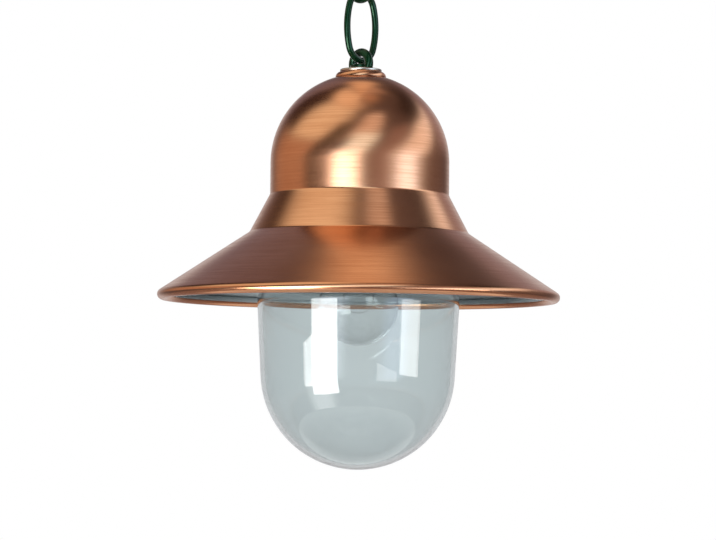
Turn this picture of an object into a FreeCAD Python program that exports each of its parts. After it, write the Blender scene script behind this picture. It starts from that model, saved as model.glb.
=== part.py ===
import FreeCAD
import Part
import math
import os

from FreeCAD import Vector

# Outdoor hanging lamp: a spun copper bell shade with a clear screw-in glass, hung on a chain.
# Millimetres, +Z up. The origin is on the ceiling, in the middle of the hook's plate. The front is -Y.

# Clearances
MOVE_GAP = 0.3            # between pieces that move on each other
STUD_GAP = 0.3            # radial, round the eye's stud
SCREW_GAP = 0.1           # radial, round a small screw or lead in its hole
NECK_GAP = 0.5            # radial, between the glass neck and the gallery's thread

# Ceiling hook, bent from one wire with a plate under the ceiling
HOOK_WIRE_D = 6.0
HOOK_R = 14.0             # centre line of the bow
HOOK_BEND_R = 8.0         # centre line of the bend between neck and bow
HOOK_NECK = 5.0           # straight neck under the plate
HOOK_TIP_DEG = 150.0      # where the bow ends, counted up from its right side
HOOK_PLATE_D = 24.0
HOOK_PLATE_T = 3.0
SHANK_L = 34.0            # full round of the shank above the ceiling
SHANK_POINT_L = 6.0

# Chain of oval welded links
LINK_WIRE_D = 5.0
LINK_INSIDE_L = 46.0
LINK_INSIDE_W = 24.8
LINK_END_R = 13.0         # centre line of the link's round ends
CHAIN_TURN_DEG = 45.0     # plane of the lower link, from +X towards +Y

# Eye bolt on top of the lamp
EYE_WIRE_D = 6.4
EYE_R = 8.5               # centre line of the eye
EYE_RISE = 4.3            # middle of the eye above its foot's lower face
EYE_FOOT_D = 16.0
EYE_FOOT_T = 2.8
STUD_D = 10.0
STUD_TAIL = 3.0           # stud beyond its nut

# Washers and nut on the stud
WASHER_D = 31.4
WASHER_T = 2.0
WASHER_ROUND = 0.7
ROSETTE_D = 38.0
ROSETTE_SHEET = 1.0
ROSETTE_LIP = 0.2         # straight lip below the rosette's round edge
GASKET_D = 28.0
GASKET_T = 0.7            # in the middle, over the top of the dome
DISHED_D = 32.0
DISHED_EDGE = 3.1
SPRING_D = 17.6
SPRING_T = 2.2
SPRING_SLIT = 1.2
NUT_FLATS = 17.0
NUT_H = 8.0

# Shade, spun from one sheet
SHEET = 1.2
DOME_R = 66.9
DOME_WALL_H = 23.9        # straight wall below the half round
COLLAR_R = 81.9           # foot of the steep collar
COLLAR_H = 28.6
BRIM_H = 47.2             # from the middle of the rolled rim up to the collar's foot
RIM_R = 150.0
BEAD_D = 8.0              # rolled rim
BEAD_TURN_DEG = 300.0
CREASE_R = 3.0

# Glass jar
GLASS_R = 75.5            # widest, at the shoulder
GLASS_TAPER_DEG = 3.2
GLASS_WALL = 3.2
GLASS_DEPTH = 138.0       # from the ledge to the bottom
GLASS_LEDGE_RISE = 9.0    # ledge above the middle of the rolled rim
SHOULDER_R = 12.0
NECK_R = 49.5
NECK_H = 24.0
NECK_ROUND = 3.5

# Gallery, seal and their seats
GALLERY_WALL = 3.0
GALLERY_DEPTH = 66.0
GALLERY_FLANGE = 9.0      # how far the flange stands out from the wall
GALLERY_ROUND = 4.0
WIRE_HOLE_D = 26.0
SEAL_T = 3.5
SEAL_W = 7.5
SEAL_ROUND = 0.8

# Yoke, bent from one strap
YOKE_SHEET = 2.0
YOKE_W = 20.0
YOKE_SPAN = 32.0          # outside of the two legs
YOKE_FOOT = 18.0
YOKE_BEND_R = 4.0         # outside of the bends

# Small pan-head screws and nuts
SCREW_D = 4.0
SCREW_HEAD_D = 8.0
SCREW_HEAD_H = 2.4
SCREW_NUT_FLATS = 7.0
SCREW_NUT_H = 3.2
SCREW_TAIL = 1.0          # screw beyond its nut

# Ceramic lampholder
HOLDER_R = 21.0
HOLDER_WALL = 4.0
HOLDER_BASE = 10.0
HOLDER_H = 34.0
HOLDER_ROUND = 2.0
HOLDER_SCREW_Y = 16.0
HOLDER_SCREW_DEPTH = 7.0
SHELL_SHEET = 0.6
SHELL_H = 22.0
SHELL_GAP = 0.5           # radial, between the bulb's cap and the lampholder's shell
CONTACT_R = 4.5
CONTACT_T = 2.0

# Bulb
BULB_R = 30.0
BULB_L = 104.0
BULB_GLASS = 0.8
BULB_NECK_R = 12.3
BULB_FLARE_R = 30.0
CAP_SHEET = 0.5
CAP_GAP = 0.3             # radial, filled with cement on the real bulb
CAP_L = 21.0
CAP_ROUND = 1.5
CAP_NECK_DEPTH = 10.0     # how far the glass neck stands in the cap
INSULATOR_H = 3.5
INSULATOR_R = 10.0
TIP_H = 1.5
TIP_R = 4.5
STEM_R = 4.0
STEM_L = 40.0
STEM_FLARE_H = 2.0
SUPPORT_D = 0.8
SUPPORT_ROOT_X = 2.0
SUPPORT_SPREAD = 8.0      # drop over which the supports spread
FILAMENT_R = 11.0

# Terminal block, earth screw and leads
BLOCK_L = 28.0
BLOCK_W = 16.0
BLOCK_H = 14.0
BLOCK_Y = 24.0            # front face of the block
BLOCK_ROUND = 1.5
POLE_X = 8.0
POLE_PITCH = 8.0
POLE_SCREW_D = 4.4
POLE_SCREW_L = 5.0
POLE_RECESS = 0.8
EARTH_Y = -36.0
LEAD_D = 2.4
LEAD_RISE = 6.0           # leads above the gallery's plate
LEAD_BEND_R = 5.0
LEAD_Y = 6.0              # where the leads go down into the lampholder
LEAD_DEPTH = 6.0

# Cable inlet in the back of the dome
GROMMET_TILT_DEG = 38.0
GROMMET_BORE_D = 7.0
GROMMET_NECK_D = 10.4
GROMMET_FLANGE_D = 16.0
GROMMET_FLANGE_T = 2.0

# Directions of the chain
UP = Vector(0, 0, 1)
ALONG = Vector(math.cos(math.radians(CHAIN_TURN_DEG)), math.sin(math.radians(CHAIN_TURN_DEG)), 0)
ACROSS = UP.cross(ALONG)

# Levels of the chain, from the ceiling down
LINK_L = LINK_INSIDE_L + LINK_WIRE_D
HOOK_BEND_Z = -HOOK_PLATE_T - HOOK_NECK
HOOK_BOW_Z = HOOK_BEND_Z - math.sqrt((HOOK_R + HOOK_BEND_R) ** 2 - HOOK_BEND_R ** 2)
HOOK_SEAT_Z = HOOK_BOW_Z - HOOK_R
UPPER_LINK_Z = HOOK_SEAT_Z + (HOOK_WIRE_D + LINK_WIRE_D) / 2 + MOVE_GAP - LINK_L / 2
LOWER_LINK_Z = UPPER_LINK_Z - LINK_L + LINK_WIRE_D + MOVE_GAP
EYE_SEAT_Z = LOWER_LINK_Z - LINK_L / 2
EYE_Z = EYE_SEAT_Z + (LINK_WIRE_D + EYE_WIRE_D) / 2 + MOVE_GAP - EYE_R
EYE_FOOT_Z = EYE_Z - EYE_RISE

# Levels of the shade and of what is clamped on top of it
ROSETTE_Z = EYE_FOOT_Z - WASHER_T
GASKET_Z = ROSETTE_Z - ROSETTE_SHEET
DOME_TOP_Z = GASKET_Z - GASKET_T
DOME_Z = DOME_TOP_Z - DOME_R
COLLAR_TOP_Z = DOME_Z - DOME_WALL_H
BRIM_TOP_Z = COLLAR_TOP_Z - COLLAR_H
RIM_Z = BRIM_TOP_Z - BRIM_H
DOME_INSIDE_R = DOME_R - SHEET
STUD_HOLE_R = STUD_D / 2 + STUD_GAP
DISHED_Z = DOME_Z + math.sqrt(DOME_INSIDE_R ** 2 - (DISHED_D / 2) ** 2) - DISHED_EDGE
SPRING_Z = DISHED_Z - YOKE_SHEET
NUT_Z = SPRING_Z - SPRING_T
STUD_END_Z = NUT_Z - NUT_H - STUD_TAIL

# Levels of the glass, gallery and lampholder
LEDGE_Z = RIM_Z + GLASS_LEDGE_RISE
SEAL_Z = LEDGE_Z + MOVE_GAP
FLANGE_Z = SEAL_Z + SEAL_T + MOVE_GAP
GALLERY_R = NECK_R + NECK_GAP + GALLERY_WALL
PLATE_Z = FLANGE_Z + GALLERY_DEPTH
PLATE_TOP_Z = PLATE_Z + GALLERY_WALL
HOLDER_FLOOR_Z = PLATE_Z - HOLDER_BASE
YOKE_SCREW_X = (YOKE_SPAN + YOKE_FOOT) / 2
SCREW_HOLE_R = SCREW_D / 2 + SCREW_GAP
LEAD_HOLE_R = LEAD_D / 2 + SCREW_GAP

# Levels of the bulb
CAP_R = BULB_NECK_R + CAP_GAP + CAP_SHEET
SHELL_R = CAP_R + SHELL_GAP + SHELL_SHEET
TIP_Z = HOLDER_FLOOR_Z - CONTACT_T
CAP_TOP_Z = TIP_Z - TIP_H - INSULATOR_H
CAP_LOW_Z = CAP_TOP_Z - CAP_L
BULB_LOW_Z = TIP_Z - BULB_L
BULB_Z = BULB_LOW_Z + BULB_R
BULB_NECK_Z = CAP_LOW_Z + CAP_NECK_DEPTH


# Helpers for profiles in the XZ plane

def point(x, z):
    return Vector(x, 0, z)


def line(start, end):
    return Part.LineSegment(start, end).toShape()


def arc(start, middle, end):
    return Part.Arc(start, middle, end).toShape()


def rounded(points, radii):
    """Edges of a run of straight lines whose inner corners are rounded."""
    edges = []
    last = points[0]
    for before, corner, after, radius in zip(points, points[1:], points[2:], radii):
        back = (before - corner).normalize()
        ahead = (after - corner).normalize()
        half = back.getAngle(ahead) / 2
        reach = radius / math.tan(half)
        middle = corner + (back + ahead).normalize() * (radius / math.sin(half) - radius)
        end = corner + ahead * reach
        edges.append(line(last, corner + back * reach))
        edges.append(arc(corner + back * reach, middle, end))
        last = end
    edges.append(line(last, points[-1]))
    return edges


def sheet_face(edges, thickness):
    """Section of a sheet on the inner side of a run of edges."""
    return Part.Wire(edges).makeOffset2D(-thickness, 0, True, True)


def polygon_face(points):
    return Part.Face(Part.makePolygon(points + points[:1]))


def spun(face):
    return face.revolve(Vector(), UP, 360)


def rod(radius, low_z, high_z, x=0.0, y=0.0):
    return Part.makeCylinder(radius, high_z - low_z, Vector(x, y, low_z))


def ring(inner_r, outer_r, low_z, high_z):
    return rod(outer_r, low_z, high_z).cut(rod(inner_r, low_z, high_z))


def hexagon(flats, low_z, height, x=0.0, y=0.0):
    corner_r = flats / math.sqrt(3)
    turns = [math.radians(60 * step) for step in range(6)]
    corners = [Vector(x + corner_r * math.cos(t), y + corner_r * math.sin(t), low_z) for t in turns]
    return polygon_face(corners).extrude(UP * height)


def tube(edges, radius):
    """Round wire or lead along a run of tangent edges."""
    start = edges[0].firstVertex().Point
    section = Part.Circle(start, edges[0].tangentAt(edges[0].FirstParameter), radius)
    return Part.Wire(edges).makePipeShell([Part.Wire(section.toShape())], True, False)


def pan_screw(head_z, length, x=0.0, y=0.0):
    """Screw hanging down from the seat of its head."""
    head = rod(SCREW_HEAD_D / 2, head_z, head_z + SCREW_HEAD_H, x, y)
    rim = [edge for edge in head.Edges if edge.BoundBox.ZMin > head_z + SCREW_HEAD_H / 2 and edge.Closed]
    head = head.makeFillet(SCREW_HEAD_H / 2, rim)
    slot_d = SCREW_HEAD_H / 2
    slot = Part.makeBox(SCREW_HEAD_D, slot_d / 2, slot_d)
    slot.translate(Vector(x - SCREW_HEAD_D / 2, y - slot_d / 4, head_z + SCREW_HEAD_H - slot_d))
    return head.cut(slot).fuse(rod(SCREW_D / 2, head_z - length, head_z, x, y)).removeSplitter()


# Hook and chain

def hook_point(turn_deg):
    """Point on the centre line of the hook's bow."""
    turn = math.radians(turn_deg)
    return ALONG * (HOOK_R * math.cos(turn)) + UP * (HOOK_BOW_Z + HOOK_R * math.sin(turn))


def ceiling_hook():
    top = UP * SHANK_L
    neck_end = UP * HOOK_BEND_Z
    bend_middle = ALONG * HOOK_BEND_R + UP * HOOK_BEND_Z
    join_deg = math.degrees(math.atan2(HOOK_BEND_Z - HOOK_BOW_Z, HOOK_BEND_R))
    half_bend = math.radians(180 + join_deg / 2)
    bend_point = bend_middle + (ALONG * math.cos(half_bend) + UP * math.sin(half_bend)) * HOOK_BEND_R
    bow_start = hook_point(join_deg)
    tip = hook_point(HOOK_TIP_DEG)
    bow = arc(bow_start, hook_point((join_deg + HOOK_TIP_DEG - 360) / 2), tip)
    wire = tube([line(top, neck_end), arc(neck_end, bend_point, bow_start), bow], HOOK_WIRE_D / 2)
    round_tip = Part.makeSphere(HOOK_WIRE_D / 2, tip)
    shank_point = Part.makeCone(HOOK_WIRE_D / 2, HOOK_WIRE_D / 12, SHANK_POINT_L, top)
    plate = rod(HOOK_PLATE_D / 2, -HOOK_PLATE_T, 0)
    return wire.fuse([round_tip, shank_point, plate]).removeSplitter()


def chain_link(direction, middle_z):
    """Oval link of four tangent arcs, standing in the plane of the direction and the vertical."""
    half_l = LINK_L / 2
    half_w = (LINK_INSIDE_W + LINK_WIRE_D) / 2
    end_z = half_l - LINK_END_R
    side_r = (half_w ** 2 + end_z ** 2 - LINK_END_R ** 2) / (2 * (half_w - LINK_END_R))
    side_x = half_w - side_r
    lean = math.atan2(end_z, -side_x)
    join_x = LINK_END_R * math.cos(lean)
    join_z = end_z + LINK_END_R * math.sin(lean)

    def place(x, z):
        return direction * x + UP * (middle_z + z)

    edges = [
        arc(place(join_x, -join_z), place(half_w, 0), place(join_x, join_z)),
        arc(place(join_x, join_z), place(0, half_l), place(-join_x, join_z)),
        arc(place(-join_x, join_z), place(-half_w, 0), place(-join_x, -join_z)),
        arc(place(-join_x, -join_z), place(0, -half_l), place(join_x, -join_z)),
    ]
    return tube(edges, LINK_WIRE_D / 2)


def eye_bolt():
    eye = Part.makeTorus(EYE_R, EYE_WIRE_D / 2, UP * EYE_Z, ALONG)
    reach = EYE_R + EYE_WIRE_D
    eye = eye.common(rod(reach, EYE_FOOT_Z, EYE_Z + reach))
    foot = rod(EYE_FOOT_D / 2, EYE_FOOT_Z, EYE_FOOT_Z + EYE_FOOT_T)
    stud = rod(STUD_D / 2, STUD_END_Z, EYE_FOOT_Z)
    return eye.fuse([foot, stud]).removeSplitter()


# What the stud clamps, from the top down

def top_washer():
    washer = ring(STUD_HOLE_R, WASHER_D / 2, ROSETTE_Z, EYE_FOOT_Z)
    rims = [edge for edge in washer.Edges if edge.Closed and edge.BoundBox.XMax > WASHER_D / 2 - WASHER_ROUND]
    return washer.makeFillet(WASHER_ROUND, rims)


def dome_z(radius, sphere_r=DOME_R):
    """Height of the dome, or of its inside, at a distance from the axis."""
    return DOME_Z + math.sqrt(sphere_r ** 2 - radius ** 2)


def cap_rosette():
    rosette_r = ROSETTE_D / 2
    lip_z = dome_z(rosette_r - ROSETTE_SHEET)
    edge_round = ROSETTE_Z - lip_z - ROSETTE_LIP
    corners = [point(STUD_HOLE_R, ROSETTE_Z), point(rosette_r, ROSETTE_Z), point(rosette_r, lip_z)]
    return spun(sheet_face(rounded(corners, [edge_round]), ROSETTE_SHEET))


def between_arc_and_flat(inner_r, outer_r, sphere_r, flat_z):
    """Ring with one face on the dome and one flat face."""
    middle_r = (inner_r + outer_r) / 2
    on_dome = [point(r, dome_z(r, sphere_r)) for r in (inner_r, middle_r, outer_r)]
    inner = point(inner_r, flat_z)
    outer = point(outer_r, flat_z)
    edges = [arc(*on_dome), line(on_dome[2], outer), line(outer, inner), line(inner, on_dome[0])]
    return spun(Part.Face(Part.Wire(edges)))


def top_gasket():
    return between_arc_and_flat(STUD_HOLE_R, GASKET_D / 2, DOME_R, GASKET_Z)


def dished_washer():
    return between_arc_and_flat(STUD_HOLE_R, DISHED_D / 2, DOME_INSIDE_R, DISHED_Z)


def spring_washer():
    slit = Part.makeBox(SPRING_D, SPRING_SLIT, SPRING_T, Vector(0, -SPRING_SLIT / 2, NUT_Z))
    return ring(STUD_HOLE_R, SPRING_D / 2, NUT_Z, SPRING_Z).cut(slit)


def stud_nut():
    bore = rod(STUD_D / 2 + SCREW_GAP, NUT_Z - NUT_H, NUT_Z)
    return hexagon(NUT_FLATS, NUT_Z - NUT_H, NUT_H).cut(bore)


# Shade

def tilted_to_inlet(shape):
    """Turn a shape on the dome's axis to where the cable comes in."""
    shape.rotate(UP * DOME_Z, Vector(1, 0, 0), -GROMMET_TILT_DEG)
    return shape


def shade():
    bead_r = BEAD_D / 2
    bead = point(RIM_R - bead_r, RIM_Z)
    collar_foot = point(COLLAR_R, BRIM_TOP_Z)
    to_bead = bead - collar_foot
    slope = math.atan2(to_bead.z, to_bead.x) + math.asin(bead_r / to_bead.Length)

    def bead_point(turn):
        return bead + point(math.cos(turn), math.sin(turn)) * bead_r

    start_turn = slope + math.pi / 2
    end_turn = start_turn - math.radians(BEAD_TURN_DEG)
    dome_turn = math.acos(STUD_HOLE_R / DOME_R)

    def dome_point(turn):
        return point(DOME_R * math.cos(turn), DOME_Z + DOME_R * math.sin(turn))

    dome_foot = point(DOME_R, DOME_Z)
    edges = [arc(dome_point(dome_turn), dome_point(dome_turn / 2), dome_foot)]
    corners = [dome_foot, point(DOME_R, COLLAR_TOP_Z), collar_foot, bead_point(start_turn)]
    edges += rounded(corners, [CREASE_R, CREASE_R])
    curl = [bead_point(turn) for turn in (start_turn, (start_turn + end_turn) / 2, end_turn)]
    edges.append(arc(*curl))
    inlet = tilted_to_inlet(rod(GROMMET_NECK_D / 2, DOME_Z + DOME_R / 2, DOME_Z + DOME_R * 2))
    return spun(sheet_face(edges, SHEET)).cut(inlet)


def cable_grommet():
    bore_r = GROMMET_BORE_D / 2
    neck_r = GROMMET_NECK_D / 2
    flange_r = GROMMET_FLANGE_D / 2
    outer_z = dome_z(neck_r)
    inner_z = dome_z(flange_r, DOME_INSIDE_R)
    corners = [
        point(bore_r, inner_z - GROMMET_FLANGE_T),
        point(flange_r, inner_z - GROMMET_FLANGE_T),
        point(flange_r, inner_z),
        point(neck_r, inner_z),
        point(neck_r, outer_z),
        point(flange_r, outer_z),
        point(flange_r, outer_z + GROMMET_FLANGE_T),
        point(bore_r, outer_z + GROMMET_FLANGE_T),
    ]
    return tilted_to_inlet(spun(polygon_face(corners)))


# Glass, seal and gallery

def glass_jar():
    lean = math.radians(GLASS_TAPER_DEG)
    shoulder_z = LEDGE_Z - SHOULDER_R
    bottom_z = LEDGE_Z - GLASS_DEPTH
    side_drop = shoulder_z - bottom_z
    bottom_r = (GLASS_R * math.cos(lean) - side_drop * math.sin(lean)) / (1 - math.sin(lean))
    bottom_mid_z = bottom_z + bottom_r
    ledge_corner_r = GLASS_R + SHOULDER_R * math.tan(lean)

    def bottom_point(turn):
        return point(bottom_r * math.cos(turn), bottom_mid_z + bottom_r * math.sin(turn))

    side_foot = bottom_point(-lean)
    corners = [
        point(NECK_R, LEDGE_Z + NECK_H),
        point(NECK_R, LEDGE_Z),
        point(ledge_corner_r, LEDGE_Z),
        side_foot,
    ]
    edges = rounded(corners, [NECK_ROUND, SHOULDER_R])
    edges.append(arc(side_foot, bottom_point(-math.pi / 4), point(0, bottom_z)))
    return spun(sheet_face(edges, GLASS_WALL))


def glass_seal():
    inner_r = NECK_R + NECK_ROUND + MOVE_GAP
    seal = ring(inner_r, inner_r + SEAL_W, SEAL_Z, SEAL_Z + SEAL_T)
    return seal.makeFillet(SEAL_ROUND, [edge for edge in seal.Edges if edge.Closed])


def screw_holes(places):
    """Clear holes for small screws through the gallery's plate and what lies on it."""
    high_z = PLATE_TOP_Z + YOKE_SHEET
    return [rod(SCREW_HOLE_R, PLATE_Z, high_z, x, y) for x, y in places]


YOKE_SCREW_PLACES = [(-YOKE_SCREW_X, 0), (YOKE_SCREW_X, 0)]
HOLDER_SCREW_PLACES = [(0, -HOLDER_SCREW_Y), (0, HOLDER_SCREW_Y)]
BLOCK_SCREW_PLACE = (0, BLOCK_Y + BLOCK_W / 2)
EARTH_PLACE = (0, EARTH_Y)
LEAD_PLACES = [(-POLE_X, LEAD_Y), (POLE_X, LEAD_Y)]


def glass_gallery():
    flange_top = FLANGE_Z + GALLERY_WALL
    corners = [
        point(WIRE_HOLE_D / 2, PLATE_TOP_Z),
        point(GALLERY_R, PLATE_TOP_Z),
        point(GALLERY_R, flange_top),
        point(GALLERY_R + GALLERY_FLANGE, flange_top),
    ]
    cup = spun(sheet_face(rounded(corners, [GALLERY_ROUND, GALLERY_WALL / 3]), GALLERY_WALL))
    places = YOKE_SCREW_PLACES + HOLDER_SCREW_PLACES + [BLOCK_SCREW_PLACE, EARTH_PLACE]
    return cup.cut(screw_holes(places))


def yoke():
    leg_x = YOKE_SPAN / 2
    foot_z = PLATE_TOP_Z
    corners = [
        point(-leg_x - YOKE_FOOT, foot_z + YOKE_SHEET),
        point(-leg_x, foot_z + YOKE_SHEET),
        point(-leg_x, DISHED_Z),
        point(leg_x, DISHED_Z),
        point(leg_x, foot_z + YOKE_SHEET),
        point(leg_x + YOKE_FOOT, foot_z + YOKE_SHEET),
    ]
    inside_r = YOKE_BEND_R - YOKE_SHEET
    radii = [inside_r, YOKE_BEND_R, YOKE_BEND_R, inside_r]
    strap = sheet_face(rounded(corners, radii), YOKE_SHEET).extrude(Vector(0, YOKE_W, 0))
    strap.translate(Vector(0, -YOKE_W / 2, 0))
    stud_hole = rod(STUD_HOLE_R, SPRING_Z, DISHED_Z)
    return strap.cut(screw_holes(YOKE_SCREW_PLACES) + [stud_hole])


def yoke_screws():
    """Screws from inside the gallery, with their heads below the plate."""
    length = GALLERY_WALL + YOKE_SHEET + SCREW_NUT_H + SCREW_TAIL
    screws = [pan_screw(PLATE_Z, length, x, y) for x, y in YOKE_SCREW_PLACES]
    for screw, (x, y) in zip(screws, YOKE_SCREW_PLACES):
        screw.rotate(Vector(x, y, PLATE_Z), Vector(1, 0, 0), 180)
    return Part.makeCompound(screws)


def yoke_nuts():
    low_z = PLATE_TOP_Z + YOKE_SHEET
    nuts = []
    for x, y in YOKE_SCREW_PLACES:
        bore = rod(SCREW_HOLE_R, low_z, low_z + SCREW_NUT_H, x, y)
        nuts.append(hexagon(SCREW_NUT_FLATS, low_z, SCREW_NUT_H, x, y).cut(bore))
    return Part.makeCompound(nuts)


# Lampholder

def lampholder_body():
    inside_r = HOLDER_R - HOLDER_WALL
    low_z = PLATE_Z - HOLDER_H
    body = rod(HOLDER_R, low_z, PLATE_Z)
    rims = [edge for edge in body.Edges if edge.Closed and edge.BoundBox.ZMax < PLATE_Z - HOLDER_BASE]
    body = body.makeFillet(HOLDER_ROUND, rims)
    cuts = [rod(inside_r, low_z, HOLDER_FLOOR_Z)]
    for x, y in HOLDER_SCREW_PLACES:
        cuts.append(rod(SCREW_HOLE_R, PLATE_Z - HOLDER_SCREW_DEPTH, PLATE_Z, x, y))
    for x, y in LEAD_PLACES:
        cuts.append(rod(LEAD_HOLE_R, PLATE_Z - LEAD_DEPTH, PLATE_Z, x, y))
    return body.cut(cuts)


def lampholder_shell():
    corners = [
        point(CONTACT_R * 2, HOLDER_FLOOR_Z),
        point(SHELL_R, HOLDER_FLOOR_Z),
        point(SHELL_R, HOLDER_FLOOR_Z - SHELL_H),
    ]
    return spun(sheet_face(rounded(corners, [SHELL_SHEET * 2]), SHELL_SHEET))


def lampholder_contact():
    contact = rod(CONTACT_R, TIP_Z, HOLDER_FLOOR_Z)
    rims = [edge for edge in contact.Edges if edge.Closed and edge.BoundBox.ZMax < HOLDER_FLOOR_Z - CONTACT_T / 2]
    return contact.makeFillet(CONTACT_T / 3, rims)


def lampholder_screws():
    length = GALLERY_WALL + HOLDER_SCREW_DEPTH - SCREW_TAIL
    return Part.makeCompound([pan_screw(PLATE_TOP_Z, length, x, y) for x, y in HOLDER_SCREW_PLACES])


# Terminals and leads on the gallery's plate

POLES = [(side * POLE_X, BLOCK_Y + BLOCK_W / 2 + step * POLE_PITCH / 2) for side in (-1, 1) for step in (-1, 1)]
BLOCK_TOP_Z = PLATE_TOP_Z + BLOCK_H
LEAD_Z = PLATE_TOP_Z + LEAD_RISE


def terminal_block():
    block = Part.makeBox(BLOCK_L, BLOCK_W, BLOCK_H, Vector(-BLOCK_L / 2, BLOCK_Y, PLATE_TOP_Z))
    block = block.makeFillet(BLOCK_ROUND, [edge for edge in block.Edges if edge.BoundBox.ZLength > BLOCK_H / 2])
    deep = POLE_RECESS + POLE_SCREW_L
    cuts = [rod(POLE_SCREW_D / 2 + SCREW_GAP, BLOCK_TOP_Z - deep, BLOCK_TOP_Z, x, y) for x, y in POLES]
    cuts.append(rod(SCREW_HOLE_R, PLATE_TOP_Z, BLOCK_TOP_Z, *BLOCK_SCREW_PLACE))
    for x in (-POLE_X, POLE_X):
        way = Part.makeCylinder(LEAD_HOLE_R, LEAD_DEPTH, Vector(x, BLOCK_Y, LEAD_Z), Vector(0, 1, 0))
        cuts.append(way)
    return block.cut(cuts)


def terminal_screws():
    high_z = BLOCK_TOP_Z - POLE_RECESS
    screws = []
    for x, y in POLES:
        slot = Part.makeBox(POLE_SCREW_D, POLE_RECESS, POLE_RECESS)
        slot.translate(Vector(x - POLE_SCREW_D / 2, y - POLE_RECESS / 2, high_z - POLE_RECESS))
        screws.append(rod(POLE_SCREW_D / 2, high_z - POLE_SCREW_L, high_z, x, y).cut(slot))
    return Part.makeCompound(screws)


def block_screw():
    return pan_screw(BLOCK_TOP_Z, BLOCK_H + GALLERY_WALL + SCREW_TAIL, *BLOCK_SCREW_PLACE)


def earth_screw():
    return pan_screw(PLATE_TOP_Z, GALLERY_WALL + SCREW_TAIL, *EARTH_PLACE)


def lead(x):
    """Lead from a pole of the block, bent down into the lampholder."""
    corners = [
        Vector(x, BLOCK_Y + LEAD_DEPTH, LEAD_Z),
        Vector(x, LEAD_Y, LEAD_Z),
        Vector(x, LEAD_Y, PLATE_Z - LEAD_DEPTH),
    ]
    return tube(rounded(corners, [LEAD_BEND_R]), LEAD_D / 2)


# Bulb

def bulb_envelope():
    flare_x = BULB_NECK_R + BULB_FLARE_R
    reach = BULB_R + BULB_FLARE_R
    flare_z = BULB_Z + math.sqrt(reach ** 2 - flare_x ** 2)
    turn = math.atan2(flare_z - BULB_Z, flare_x)

    def round_point(angle):
        return point(BULB_R * math.cos(angle), BULB_Z + BULB_R * math.sin(angle))

    def flare_point(angle):
        return point(flare_x - BULB_FLARE_R * math.cos(angle), flare_z - BULB_FLARE_R * math.sin(angle))

    edges = [
        line(point(BULB_NECK_R, BULB_NECK_Z), flare_point(0)),
        arc(flare_point(0), flare_point(turn / 2), round_point(turn)),
        arc(round_point(turn), round_point((turn - math.pi / 2) / 2), point(0, BULB_LOW_Z)),
    ]
    return spun(sheet_face(edges, BULB_GLASS))


def bulb_cap():
    corners = [point(TIP_R, CAP_TOP_Z), point(CAP_R, CAP_TOP_Z), point(CAP_R, CAP_LOW_Z)]
    return spun(sheet_face(rounded(corners, [CAP_ROUND]), CAP_SHEET))


def bulb_insulator():
    return Part.makeCone(INSULATOR_R, TIP_R, INSULATOR_H, UP * CAP_TOP_Z)


def bulb_tip():
    return rod(TIP_R, TIP_Z - TIP_H, TIP_Z)


def bulb_stem():
    flare_r = BULB_NECK_R - BULB_GLASS
    corners = [
        point(0, BULB_NECK_Z),
        point(flare_r, BULB_NECK_Z),
        point(flare_r, BULB_NECK_Z - STEM_FLARE_H),
        point(STEM_R, BULB_NECK_Z - STEM_L / 2),
        point(STEM_R, BULB_NECK_Z - STEM_L),
        point(0, BULB_NECK_Z - STEM_L),
    ]
    return spun(polygon_face(corners))


FILAMENT_Z = BULB_Z + FILAMENT_R / 2


def bulb_supports():
    root_z = BULB_NECK_Z - STEM_L
    supports = []
    for side in (-1, 1):
        corners = [
            point(side * SUPPORT_ROOT_X, root_z),
            point(side * SUPPORT_ROOT_X, root_z - SUPPORT_D * 2),
            point(side * FILAMENT_R, root_z - SUPPORT_SPREAD),
            point(side * FILAMENT_R, FILAMENT_Z),
        ]
        supports.append(tube(rounded(corners, [SUPPORT_D, SUPPORT_D]), SUPPORT_D / 2))
    return Part.makeCompound(supports)


def bulb_filament():
    ends = [point(side * FILAMENT_R, FILAMENT_Z) for side in (-1, 1)]
    return tube([arc(ends[0], point(0, FILAMENT_Z - FILAMENT_R), ends[1])], SUPPORT_D / 2)


PIECES = {
    "ceiling_hook": ceiling_hook(),
    "chain_link_upper": chain_link(ACROSS, UPPER_LINK_Z),
    "chain_link_lower": chain_link(ALONG, LOWER_LINK_Z),
    "eye_bolt": eye_bolt(),
    "top_washer": top_washer(),
    "cap_rosette": cap_rosette(),
    "top_gasket": top_gasket(),
    "shade": shade(),
    "dished_washer": dished_washer(),
    "spring_washer": spring_washer(),
    "stud_nut": stud_nut(),
    "yoke": yoke(),
    "yoke_screws": yoke_screws(),
    "yoke_nuts": yoke_nuts(),
    "glass_gallery": glass_gallery(),
    "glass_seal": glass_seal(),
    "glass_jar": glass_jar(),
    "lampholder_body": lampholder_body(),
    "lampholder_shell": lampholder_shell(),
    "lampholder_contact": lampholder_contact(),
    "lampholder_screws": lampholder_screws(),
    "terminal_block": terminal_block(),
    "terminal_screws": terminal_screws(),
    "block_screw": block_screw(),
    "earth_screw": earth_screw(),
    "lead_live": lead(-POLE_X),
    "lead_neutral": lead(POLE_X),
    "cable_grommet": cable_grommet(),
    "bulb_cap": bulb_cap(),
    "bulb_insulator": bulb_insulator(),
    "bulb_tip": bulb_tip(),
    "bulb_envelope": bulb_envelope(),
    "bulb_stem": bulb_stem(),
    "bulb_supports": bulb_supports(),
    "bulb_filament": bulb_filament(),
}

os.makedirs("parts", exist_ok=True)
for name, shape in PIECES.items():
    shape.exportStep("parts/" + name + ".step")
    box = shape.BoundBox
    print(name, len(shape.Solids), shape.isValid(), round(shape.Volume), round(box.ZMin, 2), round(box.ZMax, 2))
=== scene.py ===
import math

import bmesh
import bpy
from mathutils import Matrix, Vector


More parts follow.
